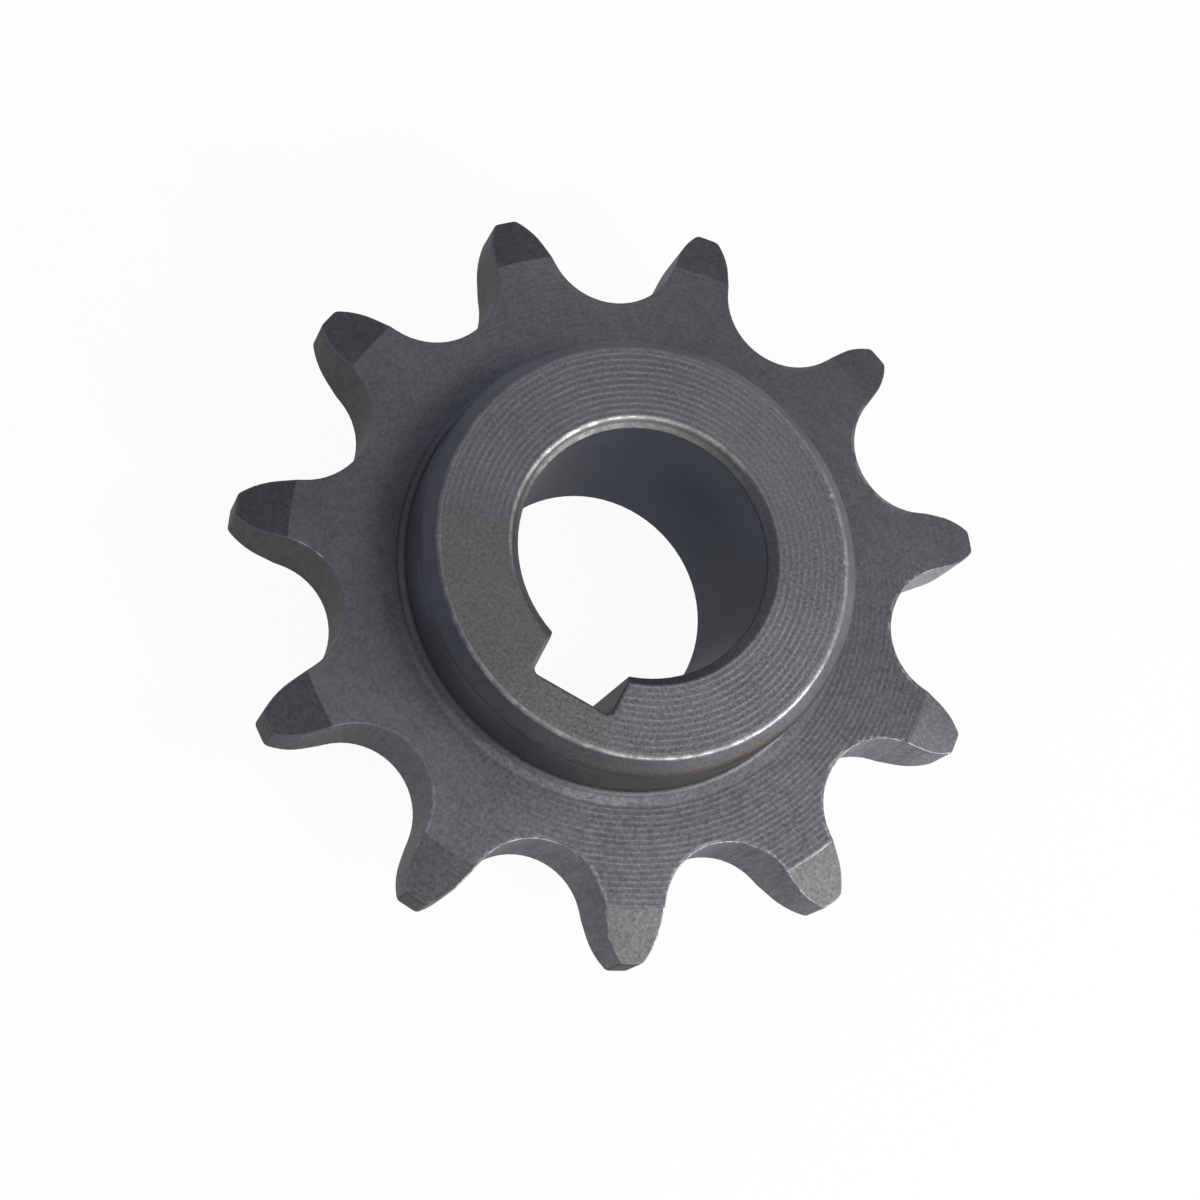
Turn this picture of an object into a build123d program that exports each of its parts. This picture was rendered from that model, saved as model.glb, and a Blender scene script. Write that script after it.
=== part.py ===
"""Chain sprocket: eleven teeth on a plate, a turned hub on both sides, a keyed bore.

It is one piece of steel. A lathe gives the plate, the hubs, the bevels and the bore, a mill
cuts the gaps between the teeth, and a broach pulls the keyway.

The origin is on the axis, halfway through the teeth, where the chain runs. +Z is the axis and
points out of the long hub. The keyway faces -Y.
"""

from itertools import combinations
from math import hypot, pi, sin
import os

from build123d import *

os.makedirs("parts", exist_ok=True)

# Driving dimensions, in millimetres and degrees

# Teeth
chain_pitch = 12.7  # from one chain roller to the next
tooth_count = 11
roller_seat_radius = 4.42  # round bottom of a gap, centred on the pitch circle
seat_half_angle = 64.0  # from the bottom of a gap to where the seat ends
flank_length = 1.55  # straight stretch of a tooth's side
flank_crown_radius = 4.7  # the side then rounds in towards the tip
tip_height = 2.11  # from the pitch circle to the tip of a tooth
tip_corner_radius = 0.45
tooth_width = 5.8  # thickness of the plate, along the axis

# Bevel on both sides of the tooth tips
bevel_reach = 3.25  # inwards from the tip
bevel_depth = 1.25  # along the axis

# Hubs
hub_diameter = 28.2
front_hub_length = 5.1
rear_hub_length = 4.8
hub_edge_chamfer = 1.0
hub_edge_round = 1.1  # blends the chamfer into the side of the hub
hub_root_fillet = 0.5

# Bore and keyway
bore_diameter = 16.0
bore_chamfer = 0.6
keyway_width = 5.4
keyway_depth = 2.5  # beyond the wall of the bore
keyway_corner_radius = 0.4
keyway_edge_break = 0.15
keyway_lead = 4.2  # the keyway sits this far round from the nearest tooth

# Sizes that follow from them
pitch_radius = chain_pitch / (2 * sin(pi / tooth_count))
tip_radius = pitch_radius + tip_height
bevel_radius = tip_radius - bevel_reach
root_radius = pitch_radius - roller_seat_radius
hub_radius = hub_diameter / 2
bore_radius = bore_diameter / 2
half_width = tooth_width / 2
front_face = half_width + front_hub_length
rear_face = -half_width - rear_hub_length
keyway_angle = -90.0
first_gap_angle = keyway_angle - keyway_lead + 180.0 / tooth_count
margin = 1.0  # how far a cutting shape runs past the metal


# One gap between two teeth, centred on +X: the round seat of a roller, a straight flank and a
# crowned flank, then an open mouth past the tip circle
with BuildSketch() as tooth_gap:
    with BuildLine():
        seat = CenterArc((pitch_radius, 0), roller_seat_radius, 180, -seat_half_angle)
        flank = Line(seat @ 1, seat @ 1 + (seat % 1) * flank_length)
        crown = JernArc(flank @ 1, flank % 1, flank_crown_radius, seat_half_angle)
        mouth = Line(crown @ 1, (tip_radius + margin, (crown @ 1).Y))
        Line(mouth @ 1, (tip_radius + margin, 0))
        mirror(about=Plane.XZ)
    make_face()

with BuildPart() as sprocket:
    # Toothed plate
    with BuildSketch(Plane.XY.offset(-half_width)) as outline:
        Circle(tip_radius)
        with PolarLocations(0, tooth_count, start_angle=first_gap_angle):
            add(tooth_gap.sketch, mode=Mode.SUBTRACT)
        tip_corners = outline.vertices().group_by(lambda v: hypot(v.X, v.Y), tol_digits=3)[-1]
        tip_land = min(a.distance_to(b) for a, b in combinations(tip_corners, 2))
        fillet(tip_corners, radius=min(tip_corner_radius, 0.45 * tip_land))
    extrude(amount=tooth_width)

    # The two bevels that guide the chain onto the teeth
    bevel_slope = bevel_depth / bevel_reach
    with BuildSketch(Plane.XZ) as bevelled_disc:
        with BuildLine():
            rim = (tip_radius + margin, half_width - bevel_depth - margin * bevel_slope)
            Polyline(
                (0, half_width),
                (bevel_radius, half_width),
                rim,
                (rim[0], -rim[1]),
                (bevel_radius, -half_width),
                (0, -half_width),
                close=True,
            )
        make_face()
    revolve(axis=Axis.Z, mode=Mode.INTERSECT)

    # Hubs, one cylinder right through the plate
    with BuildSketch(Plane.XY.offset(rear_face)):
        Circle(hub_radius)
    extrude(amount=front_face - rear_face)
    rims = sprocket.edges().filter_by(GeomType.CIRCLE)
    hub_rims = rims.filter_by(lambda e: abs(e.radius - hub_radius) < 0.001)
    hub_roots = hub_rims.filter_by(lambda e: abs(abs(e.center().Z) - half_width) < 0.001)
    root_land = root_radius - hub_radius
    fillet(hub_roots, radius=min(hub_root_fillet, 0.45 * root_land))
    hub_ends = hub_rims.filter_by(lambda e: abs(e.center().Z) > half_width + 0.001)
    chamfer(hub_ends, length=hub_edge_chamfer)
    rims = sprocket.edges().filter_by(GeomType.CIRCLE)
    hub_rims = rims.filter_by(lambda e: abs(e.radius - hub_radius) < 0.001)
    hub_rims = hub_rims.sort_by(Axis.Z)
    chamfer_feet = (hub_rims[0], hub_rims[-1])
    fillet(chamfer_feet, radius=hub_edge_round)

    # Bore, chamfered at both ends
    Hole(bore_radius)
    rims = sprocket.edges().filter_by(GeomType.CIRCLE)
    bore_rims = rims.filter_by(lambda e: abs(e.radius - bore_radius) < 0.001)
    chamfer(bore_rims, length=bore_chamfer)

    # Keyway, broached right through
    keyway_bottom = bore_radius + keyway_depth
    with BuildSketch(Plane.XY.offset(rear_face - margin)) as keyway:
        with Locations((0, -keyway_bottom)):
            Rectangle(keyway_width, keyway_bottom, align=(Align.CENTER, Align.MIN))
        fillet(keyway.vertices().group_by(Axis.Y)[0], radius=keyway_corner_radius)
    extrude(amount=front_face - rear_face + 2 * margin, mode=Mode.SUBTRACT)
    for end in (-1, 0):
        hub_face = sprocket.faces().sort_by(Axis.Z)[end]
        mouth_edges = hub_face.inner_wires()[0].edges()
        bore_edges = mouth_edges.filter_by(GeomType.CIRCLE).filter_by(
            lambda e: e.radius > bore_radius
        )
        chamfer(mouth_edges - bore_edges, length=keyway_edge_break)

sprocket.part.label = "sprocket"
export_step(sprocket.part, "parts/sprocket.step")

box = sprocket.part.bounding_box()
print(f"pitch diameter {2 * pitch_radius:.2f}, tip diameter {2 * tip_radius:.2f}")
print(f"root diameter {2 * root_radius:.2f}, tip land {tip_land:.2f}")
print(f"size {box.size.X:.2f} x {box.size.Y:.2f} x {box.size.Z:.2f}")
print(f"volume {sprocket.part.volume:.0f}, solids {len(sprocket.part.solids())}")
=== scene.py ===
# %% [markdown]
# This lesson finishes a chain sprocket in Blender. The sprocket is one piece of steel that was
# turned on a lathe, milled between the teeth and broached for a key. Its shape comes from the
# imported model, which is loaded first. Everything here is in metres, in that model's own frame:
# the origin is on the axis, halfway through the teeth, and +Z points out of the front hub.

# %% Load the model
from math import cos, pi, radians, sin

import bmesh
import bpy
from mathutils import Matrix, Quaternion, Vector


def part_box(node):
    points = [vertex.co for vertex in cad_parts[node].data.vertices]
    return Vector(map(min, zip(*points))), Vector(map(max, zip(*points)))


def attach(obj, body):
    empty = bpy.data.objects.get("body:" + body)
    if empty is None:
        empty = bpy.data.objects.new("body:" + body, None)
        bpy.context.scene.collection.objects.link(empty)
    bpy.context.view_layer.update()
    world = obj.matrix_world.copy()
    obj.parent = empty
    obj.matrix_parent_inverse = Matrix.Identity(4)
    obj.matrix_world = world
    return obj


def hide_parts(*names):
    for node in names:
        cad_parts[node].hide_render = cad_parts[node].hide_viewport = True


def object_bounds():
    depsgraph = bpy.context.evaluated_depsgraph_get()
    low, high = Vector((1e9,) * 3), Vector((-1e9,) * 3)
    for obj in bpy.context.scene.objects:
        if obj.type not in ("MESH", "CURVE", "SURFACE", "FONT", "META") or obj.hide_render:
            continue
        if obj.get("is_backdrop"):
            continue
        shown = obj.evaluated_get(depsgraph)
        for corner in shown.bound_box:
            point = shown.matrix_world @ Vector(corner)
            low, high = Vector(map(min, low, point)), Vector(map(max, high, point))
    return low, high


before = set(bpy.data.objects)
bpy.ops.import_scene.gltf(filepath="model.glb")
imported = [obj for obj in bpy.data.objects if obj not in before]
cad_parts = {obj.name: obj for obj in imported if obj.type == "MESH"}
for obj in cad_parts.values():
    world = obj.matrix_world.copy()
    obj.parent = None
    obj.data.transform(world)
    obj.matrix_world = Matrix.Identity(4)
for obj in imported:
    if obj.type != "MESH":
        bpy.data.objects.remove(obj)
cad_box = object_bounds()
MM = 0.001
low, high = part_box("sprocket")
print("CAD box, mm:", [round(v / MM, 2) for v in (*low, *high)])

# %% [markdown]
# The finish follows the sizes of the real part, such as where the hub ends and the plate begins.
# They could be measured on the mesh, but sizes written out as on a drawing are easier to read.
# They are in millimetres, and the azimuth of one gap is in degrees from +X. A face radius or a
# mouth radius is where a chamfer ends.

# %% Sizes that the finish follows
chain_pitch = 12.7
tooth_count = 11
roller_seat_radius = 4.42
gap_azimuth = -77.84
tip_radius = 24.65
bevel_radius = 21.4
plate_half = 2.9
root_fillet = 0.5
hub_radius = 14.1
hub_face_radius = 13.1
bore_radius = 8.0
bore_mouth_radius = 8.6
keyway_half_width = 2.7

pitch_radius = chain_pitch / 2 / sin(pi / tooth_count)
gap_bottom_radius = pitch_radius - roller_seat_radius
hub_root_radius = hub_radius + root_fillet
hub_root_height = plate_half + root_fillet
front_hub_height = high.z / MM
rear_hub_height = -low.z / MM
print(f"pitch radius {pitch_radius:.2f} mm, bottom of the gaps {gap_bottom_radius:.2f} mm")
print(f"hub faces {front_hub_height:.2f} and {rear_hub_height:.2f} mm from the middle")

# %% [markdown]
# The camera looks down on the front hub from a little way out towards -Y, steeply enough to see
# through the bore. A long lens keeps the teeth nearly the same size all round. It could be placed
# by three raw angles, but where it looks, how far away it is, its direction and its roll are
# easier to adjust one at a time.

# %% Camera
aim = Vector((-0.52, -2.50, plate_half)) * MM
view_distance = 165.03 * MM
view_azimuth = radians(-17.375)
view_elevation = radians(68.347)
view_roll = radians(46.271)
lens_mm = 78.758
sensor_mm = 36

towards_camera = Vector((
    sin(view_azimuth) * cos(view_elevation),
    -cos(view_azimuth) * cos(view_elevation),
    sin(view_elevation),
))
camera_data = bpy.data.cameras.new("camera")
camera_data.lens = lens_mm
camera_data.sensor_width = sensor_mm
camera_data.clip_start = 0.01
camera_data.clip_end = 20
camera = bpy.data.objects.new("camera", camera_data)
bpy.context.scene.collection.objects.link(camera)
bpy.context.scene.camera = camera
camera.location = aim + towards_camera * view_distance
camera.rotation_mode = "QUATERNION"
unrolled = (-towards_camera).to_track_quat("-Z", "Y")
camera.rotation_quaternion = unrolled @ Quaternion((0, 0, 1), view_roll)
print("camera at, mm:", [round(v / MM, 1) for v in camera.location])

# %% [markdown]
# A finish is made of many masks, and each step of one is a Math node. Added one by one, such
# nodes soon become a long list that nobody can read. Here Value wraps what one socket gives,
# and its operators add the nodes, so a mask is written as it would be on paper.

# %% Values that do shader maths
class Value:
    """What one socket gives, with arithmetic that adds Math nodes."""

    def __init__(self, graph, socket):
        self.graph = graph
        self.socket = socket

    def output(self, name):
        """Another output of the same node."""
        return Value(self.graph, self.socket.node.outputs[name])

    def math(self, operation, *others):
        """A Math node that starts with this value."""
        return self.graph.add("ShaderNodeMath", (self, *others), operation=operation)

    def __add__(self, other):
        return self.math("ADD", other)

    def __sub__(self, other):
        return self.math("SUBTRACT", other)

    def __mul__(self, other):
        return self.math("MULTIPLY", other)

    def __truediv__(self, other):
        return self.math("DIVIDE", other)

    def __rsub__(self, other):
        return self.graph.add("ShaderNodeMath", (other, self), operation="SUBTRACT")

    def __rtruediv__(self, other):
        return self.graph.add("ShaderNodeMath", (other, self), operation="DIVIDE")

    __radd__ = __add__
    __rmul__ = __mul__


print("a Value knows + - * / on either side, and any Math node by its name")

# %% [markdown]
# Every other node is added the same way: its kind and its settings, then what goes into its
# sockets, which is a number, a colour or a Value. Graph does that for one material or for the
# world. It also knows which rays see a surface directly, which the floor and the room need.

# %% A tree of nodes
class Graph:
    """One tree of shader nodes."""

    def __init__(self, owner):
        owner.use_nodes = True
        self.tree = owner.node_tree
        self.tree.nodes.clear()

    def add(self, kind, inputs=(), output=0, **settings):
        """A node of this kind: its settings first, then its sockets by place or by name."""
        node = self.tree.nodes.new(kind)
        for name, setting in settings.items():
            setattr(node, name, setting)
        named = inputs.items() if isinstance(inputs, dict) else enumerate(inputs)
        for key, given in named:
            if isinstance(given, Value):
                self.tree.links.new(given.socket, node.inputs[key])
            else:
                node.inputs[key].default_value = given
        return Value(self, node.outputs[output]) if node.outputs else None

    def seen_directly(self):
        """1 for what the camera, a reflection or clear glass shows, 0 for light on its way."""
        camera_ray = self.add("ShaderNodeLightPath", output="Is Camera Ray")
        reflected = camera_ray.output("Is Glossy Ray")
        return camera_ray + reflected + camera_ray.output("Is Transmission Ray")

    def report(self, step):
        """Say how far the tree has grown."""
        print(f"{step}: {len(self.tree.nodes)} nodes so far")


print("a Graph adds nodes of any kind")

# %% [markdown]
# The floor is a large pale sheet under the rear hub. Lit from the side, a plain sheet would look
# grey, and more light would burn out the steel. So what the camera and reflections see of it is
# mostly plain white, and the rest is its lit surface, which keeps the faint shadow.

# %% Floor
floor_size = 6.0
floor_whiteness = 0.95
floor_grey = 0.8

floor_paint = bpy.data.materials.new("pale floor")
graph = Graph(floor_paint)
lit = graph.add("ShaderNodeBsdfDiffuse", {"Color": (floor_grey, floor_grey, floor_grey, 1)})
white = graph.add("ShaderNodeEmission", {"Color": (1, 1, 1, 1), "Strength": 1.0})
mixed = graph.add("ShaderNodeMixShader", (graph.seen_directly() * floor_whiteness, lit, white))
graph.add("ShaderNodeOutputMaterial", (mixed,))

floor_mesh = bmesh.new()
bmesh.ops.create_grid(
    floor_mesh, x_segments=1, y_segments=1, size=floor_size / 2,
    matrix=Matrix.Translation((0, 0, low.z)),
)
floor = bpy.data.objects.new("floor", bpy.data.meshes.new("floor"))
floor_mesh.to_mesh(floor.data)
floor_mesh.free()
floor.data.materials.append(floor_paint)
bpy.context.scene.collection.objects.link(floor)
floor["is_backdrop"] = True
print(f"floor at {low.z / MM:.1f} mm")

# %% [markdown]
# Polished or dark metal looks like what it reflects, so the room matters as much as the lamps.
# A picture of a studio could surround it, but plain white is enough for a dull finish. The room
# is white wherever it is seen, and lights the sprocket weakly from all round. The Standard view
# shows each colour as it is written.

# %% Room
bpy.context.scene.view_settings.view_transform = "Standard"
room_light = 0.3

world = bpy.data.worlds.new("room")
bpy.context.scene.world = world
graph = Graph(world)
strength = graph.seen_directly() * (1 - room_light) + room_light
room = graph.add("ShaderNodeBackground", {"Color": (1, 1, 1, 1), "Strength": strength})
graph.add("ShaderNodeOutputWorld", (room,))
print(f"the room gives {room_light} of plain white")

# %% [markdown]
# Three soft round lamps do the rest. Lamps all round would flatten the turned rings, so all of
# them stand on the +X side: the main lamp at middle height, a low one that rakes over the rings,
# and a weak one higher up. A lamp's azimuth is counted from +X and its height from the floor,
# both in degrees.

# %% Lamps
lamp_distance = 0.45
lamp_size = 0.175


def add_lamp(name, azimuth, height, watts):
    """A round lamp that faces the sprocket."""
    azimuth, height = radians(azimuth), radians(height)
    lamp_data = bpy.data.lights.new(name, "AREA")
    lamp_data.shape = "DISK"
    lamp_data.size = lamp_size
    lamp_data.energy = watts
    lamp = bpy.data.objects.new(name, lamp_data)
    flat = Vector((cos(azimuth), sin(azimuth), 0)) * cos(height)
    lamp.location = (flat + Vector((0, 0, sin(height)))) * lamp_distance
    lamp.rotation_mode = "QUATERNION"
    lamp.rotation_quaternion = (-lamp.location).to_track_quat("-Z", "Y")
    bpy.context.scene.collection.objects.link(lamp)


add_lamp("main_lamp", azimuth=-33, height=38, watts=1.0)
add_lamp("low_lamp", azimuth=-1, height=18, watts=1.8)
add_lamp("top_lamp", azimuth=12, height=58, watts=0.45)

# %% [markdown]
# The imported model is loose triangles. A copy is merged, and the lines between the triangles of
# one plane are dissolved, so that each flat face is whole again and a bevel has only real edges
# to work on. The steps are done in millimetres, because bevel loses precision in metres, where
# a worn edge is less than a ten-thousandth.

# %% A whole copy of the metal
merge_distance = 0.0005
same_plane = radians(0.05)

metal = bmesh.new()
metal.from_mesh(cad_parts["sprocket"].data)
wear = metal.faces.layers.float.new("edge_wear")
bmesh.ops.scale(metal, vec=(1 / MM,) * 3, verts=metal.verts)
bmesh.ops.remove_doubles(metal, verts=metal.verts, dist=merge_distance)
inside_planes = [e for e in metal.edges if e.calc_face_angle() < same_plane]
bmesh.ops.dissolve_edges(metal, edges=inside_planes, use_verts=False)
print(f"{len(metal.faces)} faces in the merged copy")

# %% [markdown]
# The model's edges are knife-sharp, and real steel never is: each edge has a small worn round
# that catches the light. A Bevel modifier could round them all, but here the edges are chosen,
# because the little fillet round a hub's foot has facets steep enough to pass for edges. The
# faces of the rounds are marked edge_wear, so that the material can find them.

# %% Worn edges
edge_round = 0.08
sharp_angle = radians(35)


def in_hub_root(edge):
    """Whether an edge is only a facet line of the fillet where a hub meets the plate."""
    middle = (edge.verts[0].co + edge.verts[1].co) / 2
    return middle.xy.length < hub_root_radius + 0.1 and abs(middle.z) < hub_root_height + 0.1


worn_edges = [e for e in metal.edges if e.calc_face_angle() > sharp_angle and not in_hub_root(e)]
rounded = bmesh.ops.bevel(
    metal, geom=worn_edges, offset=edge_round, offset_type="OFFSET", affect="EDGES",
    segments=2, profile=0.5, material=-1, clamp_overlap=False,
)["faces"]
for face in rounded:
    face[wear] = 1.0
print(f"{len(worn_edges)} edges rounded to {edge_round} mm, with {len(rounded)} faces")

# %% [markdown]
# Smooth shading turns facets into one curved face, but on a flat face it would leave shadows at
# the corners. So the flat ends stay flat, all else is smooth, and the shading breaks at sharp
# edges and where a worn round meets its neighbour. Then the piece rides on the part's only
# body and stands for the model's node.

# %% The finished piece
crease_angle = radians(15)
level_face = 0.9999

edge_faces = set(rounded)
for face in metal.faces:
    face.smooth = face in edge_faces or abs(face.normal.z) < level_face
for edge in metal.edges:
    borders_wear = len(edge_faces.intersection(edge.link_faces)) == 1
    edge.smooth = not borders_wear and edge.calc_face_angle() < crease_angle
bmesh.ops.scale(metal, vec=(MM,) * 3, verts=metal.verts)
sprocket = bpy.data.objects.new("sprocket_metal", bpy.data.meshes.new("sprocket_metal"))
metal.to_mesh(sprocket.data)
metal.free()
bpy.context.scene.collection.objects.link(sprocket)
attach(sprocket, "root")
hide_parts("sprocket")
print(f"{len(sprocket.data.vertices)} vertices, {len(sprocket.data.polygons)} faces")

# %% [markdown]
# The finish is steel darkened by an oxide, and it follows how each face was cut. It could be
# painted on an image, but a finish that is worked out needs no unwrapping and stays sharp from
# close by. The material first works out where a point is, in millimetres: its radius, its height
# from the middle, and facing, which is 1 on a level face and 0 on an upright one.

# %% Where a point of the metal is
steel = bpy.data.materials.new("darkened steel")
graph = Graph(steel)
coordinates = graph.add("ShaderNodeTexCoord", output="Object")
x, y, z = (
    graph.add("ShaderNodeSeparateXYZ", (coordinates,), output=axis) / MM for axis in "XYZ"
)
radius = (x * x + y * y).math("SQRT")
height = z.math("ABSOLUTE")
facing = graph.add("ShaderNodeSeparateXYZ", (coordinates.output("Normal"),), output="Z")
facing = facing.math("ABSOLUTE")
edge_wear = graph.add("ShaderNodeAttribute", output="Fac", attribute_name="edge_wear")
graph.report("where a point is")

# %% [markdown]
# A mask says how much a point belongs somewhere, from 0 to 1. Its borders are soft, because a
# hard border would show as a jagged line. Most masks here are soft steps along one measure, and
# some are a part of the way round the axis, at an azimuth that is counted from +X in degrees.

# %% Soft masks
def smooth_step(value, start, end):
    """0 at start and 1 at end, with a soft turn between. Start may be the larger."""
    return value.graph.add(
        "ShaderNodeMapRange",
        {"Value": value, "From Min": start, "From Max": end},
        interpolation_type="SMOOTHSTEP",
    )


def band(value, start, end, soft):
    """1 between start and end, 0 outside, with soft borders."""
    return smooth_step(value, start - soft, start) * smooth_step(value, end + soft, end)


def facing_way(azimuth):
    """1 on the side of this azimuth, -1 on the far side, and a smooth change between."""
    return (x * cos(radians(azimuth)) + y * sin(radians(azimuth))) / radius


def around(azimuth, reach, soft):
    """1 within reach degrees of an azimuth, fading to 0 over soft degrees more."""
    return smooth_step(facing_way(azimuth), cos(radians(reach + soft)), cos(radians(reach)))


front = smooth_step(z, 0, 0.2)
# The lamps stand on this side, and the tones and bare edges below that follow this direction are
# partly painted light.
lamp_side = 342
toward_lamps = facing_way(lamp_side)
graph.report("front half and the side where the oxide is thin")

# %% [markdown]
# Each face was cut in its own way, so each gets its own finish. A separate material for each
# would break off hard at every edge, and masks can hand over to each other. The normal tells
# flat faces from upright ones, the chamfers are neither, and the radius and the height tell the
# rest. The small numbers are how far past a face's border its mask ends.

# %% Faces of the plate and the hubs
chamfer_foot = 6.6

flat = smooth_step(facing, 0.955, 0.985)
upright = smooth_step(facing, 0.3, 0.12)
slanted = (1 - flat) * (1 - upright)

on_hub_face = flat * smooth_step(height, rear_hub_height - 0.3, rear_hub_height - 0.1)
on_hub_face = on_hub_face * smooth_step(radius, hub_face_radius + 0.05, hub_face_radius - 0.05)
on_plate = flat * smooth_step(height, plate_half + 0.3, plate_half + 0.1)
on_plate = on_plate * smooth_step(radius, hub_root_radius - 0.1, hub_root_radius)
on_hub_side = upright * band(radius, hub_radius - 0.2, hub_radius + 0.2, 0.1)
on_chamfer = slanted * band(radius, hub_face_radius - 0.02, hub_radius + 0.02, 0.03)
on_chamfer = on_chamfer * smooth_step(height, chamfer_foot - 0.05, chamfer_foot + 0.05)
on_root = band(radius, hub_radius - 0.1, hub_root_radius + 0.05, 0.05) * (1 - upright)
on_root = on_root * smooth_step(height, hub_root_height + 0.15, hub_root_height + 0.05)
graph.report("masks of the plate and the hubs")

# %% [markdown]
# The teeth have three kinds of face: the bevels that guide the chain, the milled sides of the
# gaps and the turned tips. The bore has its wall and a chamfer at each end. The keyway's walls
# were broached. They are found by their place, since they are as upright as the bore's wall.

# %% Faces of the teeth, the bore and the keyway
keyway_top = -7.5
keyway_outer_radius = 11.0

on_bevel = smooth_step(facing, 0.88, 0.91) * (1 - flat)
on_bevel = on_bevel * smooth_step(radius, bevel_radius - 0.1, bevel_radius + 0.05)
on_flank = upright * band(radius, gap_bottom_radius - 0.3, tip_radius - 0.1, 0.05)
on_tip = upright * smooth_step(radius, tip_radius - 0.1, tip_radius - 0.05)
in_bore = upright * smooth_step(radius, bore_radius + 0.05, bore_radius + 0.02)
on_bore_chamfer = smooth_step(radius, bore_mouth_radius + 0.02, bore_mouth_radius - 0.02)
on_bore_chamfer = on_bore_chamfer * slanted
from_middle = x.math("ABSOLUTE")
in_keyway = upright * smooth_step(y, keyway_top + 0.3, keyway_top)
in_keyway = in_keyway * smooth_step(from_middle, keyway_half_width + 0.1, keyway_half_width + 0.02)
in_keyway = in_keyway * smooth_step(radius, keyway_outer_radius + 0.2, keyway_outer_radius)
graph.report("masks of the teeth, the bore and the keyway")

# %% [markdown]
# Metal is never even. An image of real metal could bring its grain, but it would repeat, so the
# clouds, grains and speckles of this finish are all noise whose lumps have a size in
# millimetres. A seed only moves the pattern, so that two of them don't line up.

# %% Noise
def noise(size, detail=2.0, roughness=0.5, stretch=(1, 1, 1), seed=0.0):
    """Cloudy noise from 0 to 1 about 0.5, with lumps of a size in millimetres."""
    scaled = graph.add(
        "ShaderNodeMapping",
        {"Vector": coordinates, "Location": (seed, seed, seed),
         "Scale": tuple(s / (size * MM) for s in stretch)},
    )
    return graph.add(
        "ShaderNodeTexNoise",
        {"Vector": scaled, "Scale": 1.0, "Detail": detail, "Roughness": roughness},
    )


fine_grain = noise(0.13)
coarse_grain = noise(0.3, detail=3.0, roughness=0.65, seed=3.0)
milled_streaks = noise(0.35, detail=3.0, roughness=0.6, stretch=(1, 1, 0.12), seed=13.0)
graph.report("grain and milled streaks")

# %% [markdown]
# A lathe tool leaves a fine spiral on a faced surface. Seen from above it is a set of rings, each
# a shallow trough between two sharp ridges. They are far finer than the mesh, so they are bump.
# A Wave texture could draw rings, but these are closer together on the plate than on the hub,
# and perfect rings would look drawn. So they are worked out from the radius. They waver a
# little, and a noise that is stretched along them makes some ridges stand higher than others.

# %% Turned rings
plate_ring_pitch = 0.373
hub_ring_pitch = 0.412
waver = 0.12
middle_of_noise = 0.5

ring_pitch = on_hub_face * (hub_ring_pitch - plate_ring_pitch) + plate_ring_pitch
ring_radius = (noise(2.5, detail=1.0, seed=9.0) - middle_of_noise) * waver + radius
ring = ring_radius / ring_pitch
from_trough = ring.math("FRACT") - 0.5
ridge = from_trough * from_trough * 4
ring_place = graph.add(
    "ShaderNodeCombineXYZ", {"X": x * 0.8, "Y": y * 0.8, "Z": ring * 0.9},
)
ring_noise = graph.add(
    "ShaderNodeTexNoise", {"Vector": ring_place, "Scale": 1.0, "Detail": 3.0, "Roughness": 0.65}
)
ring_noise = ring_noise - middle_of_noise
graph.report("turned rings")

# %% [markdown]
# The rings are not equally deep all round. On the hub's face they are deep, a little less so in
# three stretches, and on one side they have been rubbed away. On the plate they are strong on
# one side only. Other faces need an amount with patches too, so that is a helper of its own.

# %% How deep the rings are
rubbed_azimuth = 237
unevenness = 2.8


def patched(amount, *patches):
    """An amount with patches, each given as its azimuth, reach, soft border and change."""
    for azimuth, reach, soft, change in patches:
        amount = around(azimuth, reach, soft) * change + amount
    return amount


rubbed = around(rubbed_azimuth, 22, 34) * front
hub_cut = patched(0.47, (52, 12, 35, -0.2), (172, 12, 25, -0.12), (297, 5, 25, -0.1))
plate_cut = patched(0.03, (325, 38, 42, 0.3), (125, 15, 30, 0.07))
clear_of_hub = smooth_step(radius, hub_root_radius + 0.2, hub_root_radius + 0.6)
ring_zone = on_hub_face * hub_cut + on_plate * plate_cut * clear_of_hub
ring_strength = (ring_noise * unevenness + 1) * (1 - rubbed * 0.9) * ring_zone
ring_height = ridge * ring_strength
graph.report("depth of the rings")

# %% [markdown]
# Between the rings the steel is not smooth either. It has a fine grain everywhere, a coarser one
# on the sandy bevels and on the sides and tips of the teeth, streaks along the axis where the
# cutter milled the gaps, and faint turning lines on the sides of the hubs. A Bump node for each
# could be chained, but heights simply add up, so one node takes the sum. In it a height of 1 is
# the bump's full depth.

# %% Bump
bump_depth = 0.026

side_line_place = graph.add("ShaderNodeCombineXYZ", {"X": x * 0.1, "Y": y * 0.1, "Z": z * 6})
side_lines = graph.add(
    "ShaderNodeTexNoise", {"Vector": side_line_place, "Scale": 1.0, "Detail": 2.0}
)
grainy = on_bevel + on_flank + on_tip
grain_height = fine_grain * 0.26 + coarse_grain * grainy * 0.5
grain_height = grain_height + side_lines * on_hub_side * 0.4 + milled_streaks * on_flank * 1.5
bump = graph.add(
    "ShaderNodeBump",
    {"Strength": 1.0, "Distance": bump_depth * MM, "Height": ring_height + grain_height},
)
graph.report("bump")
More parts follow.
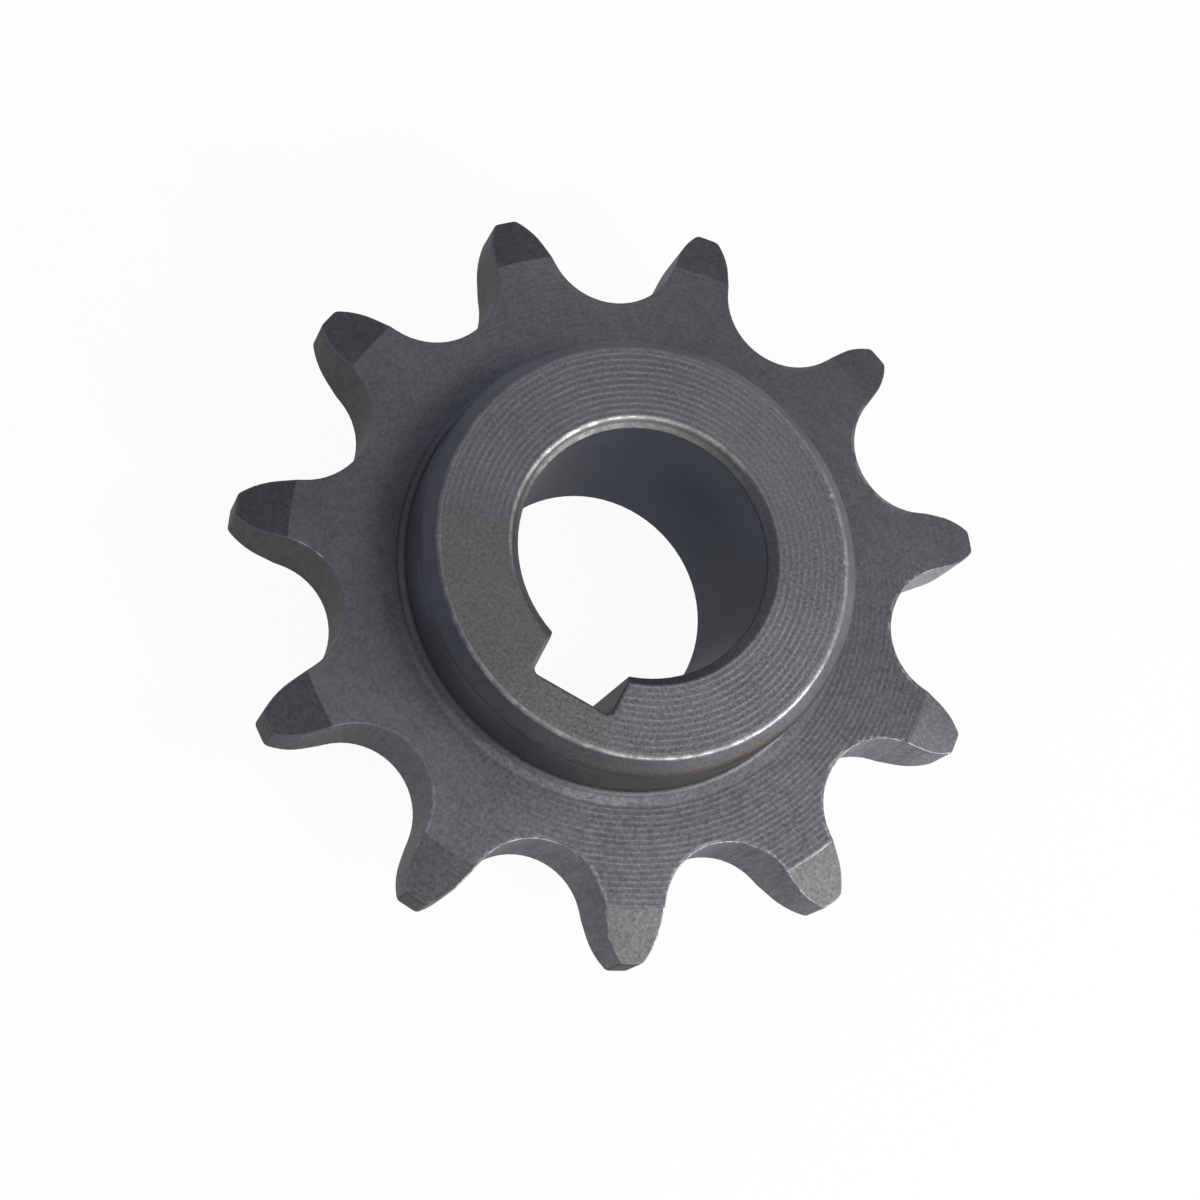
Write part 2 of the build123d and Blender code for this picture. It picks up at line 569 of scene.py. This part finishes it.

# %% [markdown]
# The oxide is a dark grey, and each face took it differently. A colour ramp over the whole part
# couldn't follow that, so each face gets a tone of its own: 1 is the plain oxide, and more is
# paler. The hub's face took little of it and the plate somewhat more, with patches round the
# axis, which are partly the oxide's own and partly painted light and shade: both faces are paler
# towards the lamps and darker on the far side. On one side the plate has a pale, grainy ring
# close to the hub.

# %% Tone of the level faces
# The hub's face is paler towards the lamps and darker on the far side: painted light and shade.
hub_face_tone = patched(toward_lamps * 0.06 + 1.53, (205, 42, 20, -0.12), (37, 10, 20, -0.1))
hub_face_tone = hub_face_tone - rubbed * 0.2
# The plate is paler towards the lamps and darker on the far side: painted light and shade.
plate_tone = patched(
    facing_way(300) * 0.14 + 1.32,
    (50, 40, 45, -0.2), (147, 15, 30, 0.12), (305, 20, 40, 0.1),
    (216, 34, 42, -0.18), (212, 8, 20, -0.08),
)
pale_ring = around(302, 65, 25) * 0.42 + around(280, 12, 30) * 0.65
pale_ring = pale_ring * smooth_step(radius, hub_root_radius + 0.6, hub_root_radius + 0.3)
pale_ring = pale_ring * (coarse_grain * 1.6 + 0.15)
plate_tone = plate_tone + pale_ring
graph.report("tone of the level faces")

# %% [markdown]
# The milled sides of the teeth came out palest, and the bevels, the bore and the tips darkest.
# The bevels, the sides of the teeth and the hubs' chamfers are paler towards the lamps, and the
# roots darker on the far side, which is painted light and shade. Each tip is darkest along its
# front edge. On one side the bore's wall is a little paler towards the front and darker deeper
# in, which is painted shade, and the walls of the keyway are pale and its bottom is dark, which
# is painted shade too. The amounts were tuned in renders, one face after another, because no
# simple rule gives them.

# %% Tone of the other faces
side_tone = facing_way(207) * 0.25 + 1.5
# The root is darker on the side away from the lamps: painted shade.
root_tone = patched(1.16, (217, 26, 32, -0.36), (330, 20, 25, -0.18))
# The chamfer is paler towards the lamps: painted light.
chamfer_tone = patched(facing_way(57) * 0.55 + 1.29, (342, 8, 22, -0.5), (38, 12, 20, 0.25))
# The bevels are paler towards the lamps: painted light.
bevel_tone = patched(toward_lamps * 0.2 + 1.02, (222, 25, 25, -0.16), (330, 8, 16, -0.1))
# The sides of the teeth are paler towards the lamps, with one bright patch: partly painted light.
flank_tone = patched(facing_way(7) * 0.95 + 1.8, (30, 12, 15, 1.3), (312, 8, 18, -0.35))
tip_tone = smooth_step(z, 1.25, 0.95) * 0.35 + 0.6
# Paler towards the bore's front mouth and darker deeper in: painted shade.
painted_bore_shade = around(45, 30, 35) * (smooth_step(z, 1, 7) - 0.35) * 0.36
bore_tone = patched(0.93, (342, 15, 40, -0.22)) + painted_bore_shade
bore_chamfer_tone = patched(
    1.1, (250, 25, 20, 0.7), (162, 12, 25, -0.3), (45, 20, 25, -0.08), (342, 6, 14, 0.15),
)
# Darker towards the keyway's bottom: painted shade.
keyway_tone_and_shade = smooth_step(y, -10.2, -9.2) * 1.2 + 0.6
graph.report("tone of the other faces")

# %% [markdown]
# Now each mask gives its tone to its own face. The base is the tone of the worn rounds, which lie
# between the faces, and each mask pulls the tone from that base to its own. Two places differ
# within a face: on the side away from the lamps the plate is darker in the corner beside the hub,
# which is painted shadow of the hub, and a thin dark line runs along a part of the bore's mouth.

# %% Tones together
edge_tone = 1.25
tones = (
    (on_hub_face, hub_face_tone), (on_plate, plate_tone), (on_hub_side, side_tone),
    (on_chamfer, chamfer_tone), (on_root, root_tone), (on_bevel, bevel_tone),
    (on_flank, flank_tone), (on_tip, tip_tone), (in_bore, bore_tone),
    (on_bore_chamfer, bore_chamfer_tone), (in_keyway, keyway_tone_and_shade),
)
tone = edge_tone
for mask, face_tone in tones:
    tone = mask * (face_tone - edge_tone) + tone

# The hub's painted shadow on the plate, on the side away from the lamps.
painted_hub_shadow = around(170, 12, 35) * smooth_step(radius, hub_radius, hub_radius + 0.2)
painted_hub_shadow = painted_hub_shadow * smooth_step(radius, hub_root_radius + 2.8, hub_root_radius + 0.2)
mouth_line = band(radius, bore_mouth_radius - 0.08, bore_mouth_radius + 0.12, 0.05)
mouth_line = mouth_line * around(237, 8, 20) * front
tone = tone * (1 - painted_hub_shadow * front * 0.2) * (1 - mouth_line * 0.4)
graph.report(f"{len(tones)} tones together")

# %% [markdown]
# Close up, the oxide is cloudy and speckled, and a little paler on the ridges of the rings. One
# noise alone looks like fog, so three sizes of lump are laid over the grain, and the speckles
# are strongest on the side towards the lamps. Each swings about its middle, so that the steel as
# a whole stays as dark as it was.

# %% Clouds and speckles
oxide = 0.07
middle_of_ridge = 0.33

cloud = noise(6.0, detail=3.0, roughness=0.55, seed=1.0) - middle_of_noise
blotch = noise(0.9, seed=21.0) - middle_of_noise
speckle = noise(0.2, detail=1.0, seed=7.0) - middle_of_noise
speckled = around(325, 45, 45) * 0.45 + 0.5 + on_hub_face * 0.4 + on_plate * 0.2
speckled = speckled - (on_chamfer + on_hub_side + in_bore) * 0.3
mottle = cloud * 0.4 + blotch * (on_hub_face + on_plate) * 0.25 + speckle * speckled + 1
mottle = mottle + (coarse_grain - middle_of_noise) * (grainy * 0.7 + 0.25)
mottle = mottle + (milled_streaks - middle_of_noise) * on_flank * 0.9
ring_tint = (ridge - middle_of_ridge) * ring_strength * 0.8 + 1
oxide_level = tone * mottle * ring_tint * oxide
graph.report("clouds and speckles")

# %% [markdown]
# Handling wears the oxide off whatever stands out. The Geometry node's Pointiness could find such
# places, but only on a much finer mesh, so the rims are drawn by their radius. The rim of the
# front hub's face is worn, and palest on the side towards the lamps, which is partly a painted
# highlight. The bore's mouth is worn most on another side, and a short line shows where one bevel
# starts. The rear hub doesn't reach the height that the hub's rim asks for.

# %% Worn rims, with a painted highlight on the hub's rim
def most(mask, *others):
    """The largest of several masks, so that where they cross they don't add up."""
    for other in others:
        mask = mask.math("MAXIMUM", other)
    return mask


hub_rim_wear_and_highlight = band(radius, hub_face_radius - 0.13, hub_face_radius + 0.07, 0.08)
hub_rim_wear_and_highlight = hub_rim_wear_and_highlight * smooth_step(height, front_hub_height - 0.25, front_hub_height - 0.1)
# Palest towards the lamps: partly a painted highlight.
hub_rim_wear_and_highlight = hub_rim_wear_and_highlight * patched(0.25, (325, 55, 45, 0.6), (20, 35, 35, 0.3))
outer_rim = band(radius, bore_mouth_radius - 0.08, bore_mouth_radius + 0.08, 0.1)
inner_rim = band(radius, bore_radius + 0.02, bore_radius + 0.25, 0.1)
bore_rim = outer_rim + inner_rim * 0.35
bore_rim = bore_rim * smooth_step(height, front_hub_height - 0.7, front_hub_height - 0.55)
bore_rim = bore_rim * patched(0.04, (140, 28, 65, 1.0), (265, 25, 30, 0.2))
bevel_line = band(radius, bevel_radius - 0.04, bevel_radius + 0.04, 0.06) * around(330, 4, 3)
bevel_line = bevel_line * front * (1 - upright) * 0.7
rim_wear_and_highlight = most(hub_rim_wear_and_highlight, bore_rim, bevel_line)
graph.report("worn rims")

# %% [markdown]
# The edges of the gaps follow no circle, but their rounds were marked edge_wear when they were
# made, and that mark is a mask already. They are bare on the side towards the lamps, which is
# partly wear and partly a painted highlight, and on the far side they kept their oxide. The edges
# of the keyway and of the bore are left out: the keyway's kept their oxide too, and the bore's are
# among the rims.

# %% Worn edges of the teeth, with painted highlights
# Bare towards the lamps: partly wear, partly a painted highlight.
worn_and_lit_side = smooth_step(toward_lamps, -0.4, 0.7)
keyway_mouth = smooth_step(y, keyway_top + 0.5, keyway_top + 0.2)
keyway_mouth = keyway_mouth * smooth_step(
    from_middle, keyway_half_width + 0.4, keyway_half_width + 0.25
)
keyway_mouth = keyway_mouth * smooth_step(
    radius, keyway_outer_radius + 0.6, keyway_outer_radius + 0.4
)
worn_and_lit_edge = edge_wear * (1 - keyway_mouth) * worn_and_lit_side
worn_and_lit_edge = worn_and_lit_edge * smooth_step(radius, bore_mouth_radius + 0.1, bore_mouth_radius + 0.2)
worn_and_lit_edge = worn_and_lit_edge * (1 - around(350, 50, 40) * 0.22)
graph.report("worn edges of the teeth")

# %% [markdown]
# Beside the roller seats the oxide is chipped, in the first fifth of a millimetre from the edge.
# Eleven masks would take eleven times the nodes, so the azimuth is counted in sectors of one
# gap each, and only the place within a sector is kept. There, one distance from the roller's
# circle serves all the gaps. The chips stop where a seat turns into its flanks.

# %% Chips along the roller seats
chip_width = 0.2
seat_end = 20.4
sector = 2 * pi / tooth_count

sectors_round = y.math("ARCTAN2", x) / sector - radians(gap_azimuth) / sector + 0.5
in_sector = (sectors_round.math("FRACT") - 0.5) * sector
outwards = radius * in_sector.math("COSINE")
sideways = radius * in_sector.math("SINE")
from_pitch = outwards - pitch_radius
from_seat = (from_pitch * from_pitch + sideways * sideways).math("SQRT") - roller_seat_radius
chip_patch = smooth_step(noise(0.8, detail=3.0, roughness=0.7, seed=17.0), 0.46, 0.56)
chips = band(from_seat, 0.0, chip_width, 0.08) * smooth_step(outwards, seat_end + 0.8, seat_end)
chips = chips * on_plate * chip_patch
graph.report(f"chips along {tooth_count} roller seats")

# %% [markdown]
# Some marks belong to no pattern. Knocks left three tiny nicks in the rim of the hub's face, the
# third of them faint, and the edge of one gap has a short burr. Noise could scatter such marks,
# but it would put them anywhere, so each is placed by its azimuth.

# %% Nicks and a burr
nicks = around(27.4, 0.3, 0.5) + around(47.0, 0.3, 0.5) + around(207.4, 0.2, 0.4) * 0.3
nicks = nicks * band(radius, hub_face_radius - 0.2, hub_face_radius + 0.1, 0.1)
nicks = nicks * smooth_step(height, front_hub_height - 0.4, front_hub_height - 0.2)
burr = band(radius, 19.3, 21.0, 0.2) * around(207, 1.0, 1.0) * edge_wear * front
graph.report("nicks and a burr")

# %% [markdown]
# Bare steel is nearly four times as pale as the plain oxide. It shows wherever one of these
# marks is, and a patchy noise breaks most of them up, because worn metal is never an even line.
# On the side towards the lamps the bare edges and the hub's rim are partly painted highlights.
# The strongest mark counts. A sum of them could pass 1, and the steel would be barer than bare.

# %% Bare steel
bare_steel = 0.26

bare_patch = smooth_step(noise(0.7, detail=3.0, roughness=0.7, seed=5.0), 0.42, 0.62)
bare = most(
    worn_and_lit_edge * (bare_patch * 0.75 + 0.1),
    rim_wear_and_highlight * (bare_patch * 0.6 + 0.4),
    nicks + burr * bare_patch * 0.9,
    chips * worn_and_lit_side * 0.5,
)
level = oxide_level + (bare_steel - oxide_level) * bare
graph.report("bare steel")

# %% [markdown]
# The grey leans to blue, most of all where the oxide is thick, which is in the bore and on one
# side of the hub. That side is away from the lamps, so there the blue is partly painted shade,
# as it is in the painted shadow beside the hub. It is neutral where the steel was rubbed or worn
# bare, and elsewhere under the hub's rim are a few streaks of rust. One tint for all would be
# simpler, but such a small change of colour is what tells oxide from paint.

# %% Where the tint changes
# The blue on the hub's side away from the lamps and in its painted shadow is partly painted shade.
thick_and_shaded_side = around(195, 25, 60)
blue_oxide_and_shade = in_bore + on_bore_chamfer * around(27, 60, 30) * 0.3
blue_oxide_and_shade = blue_oxide_and_shade + (on_hub_side + on_chamfer + on_root) * thick_and_shaded_side * 0.6
blue_oxide_and_shade = blue_oxide_and_shade + painted_hub_shadow * on_plate * 0.5
polished = bare * 2.5 + on_bore_chamfer * around(140, 50, 30)
polished = polished + (rubbed * 0.6 + around(292, 25, 35) * 0.35) * on_hub_face
polished = polished + on_tip * 0.7 + on_bevel * around(322, 20, 40) * 0.7
rust_streaks = smooth_step(noise(1.6, detail=4.0, roughness=0.7, seed=11.0), 0.4, 0.65)
rust = around(312, 15, 25) * (on_chamfer + on_hub_side + on_root * 0.4) * front
rust = rust * (rust_streaks * 0.7 + 0.3)
rust = rust * smooth_step(height, front_hub_height - 0.3, front_hub_height - 0.7)
graph.report("where the tint changes")

# %% [markdown]
# A Math node would turn a colour grey, so the tints are laid over each other by Mix nodes, and
# a Vector Math node multiplies the grey level by the tint that comes out. Each tint is about 1
# on average, so the level alone says how pale the steel is.

# %% Colour
blue_oxide_and_shade_tint = (0.88, 0.95, 1.3, 1)
thin_tint = (0.955, 0.965, 1.08, 1)
bare_tint = (0.99, 0.99, 1.0, 1)
rust_tint = (1.12, 1.0, 0.82, 1)


def mixed_colour(factor, first, second):
    """Between two colours. Of the node's sockets, 6 and 7 take the colours and 2 gives one."""
    return graph.add(
        "ShaderNodeMix", {0: factor, 6: first, 7: second}, output=2, data_type="RGBA",
    )


tint = mixed_colour(blue_oxide_and_shade.math("MINIMUM", 1.0), thin_tint, blue_oxide_and_shade_tint)
tint = mixed_colour(polished.math("MINIMUM", 1.0), tint, bare_tint)
tint = mixed_colour(rust, tint, rust_tint)
grey = graph.add("ShaderNodeCombineXYZ", {"X": level, "Y": level, "Z": level})
steel_colour = graph.add(
    "ShaderNodeVectorMath", (grey, tint), output="Vector", operation="MULTIPLY"
)
graph.report("colour")

# %% [markdown]
# The oxide is a thin skin on metal, so the shader is metallic with a dull shine, and bare steel is
# a little smoother. A coat over the metal could stand for the oxide, but it would shine like
# varnish. Oxide loses the bright sheen that clean metal has at a glancing angle, so the tint of
# that sheen is set low. Only the colour, the roughness and the normal vary over the surface.

# %% Shader
metallic = 0.9
oxide_roughness = 0.52
bare_roughness = 0.35
glancing_tint = 0.6

shader = graph.add(
    "ShaderNodeBsdfPrincipled",
    {
        "Base Color": steel_colour,
        "Metallic": metallic,
        "Roughness": oxide_roughness - bare * (oxide_roughness - bare_roughness),
        "Specular Tint": (glancing_tint, glancing_tint, glancing_tint, 1),
        "Normal": bump,
    },
)
graph.add("ShaderNodeOutputMaterial", (shader,))
sprocket.data.materials.append(steel)
graph.report("the whole steel")

# %% [markdown]
# The finish must not change the part's size, so the box of the model and the box of what was
# made here are printed side by side.

# %% Finish
boxes = {"cad": cad_box, "visual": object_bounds()}
for name, box in boxes.items():
    print(name, "box, mm:", [round(v / MM, 2) for corner in box for v in corner])
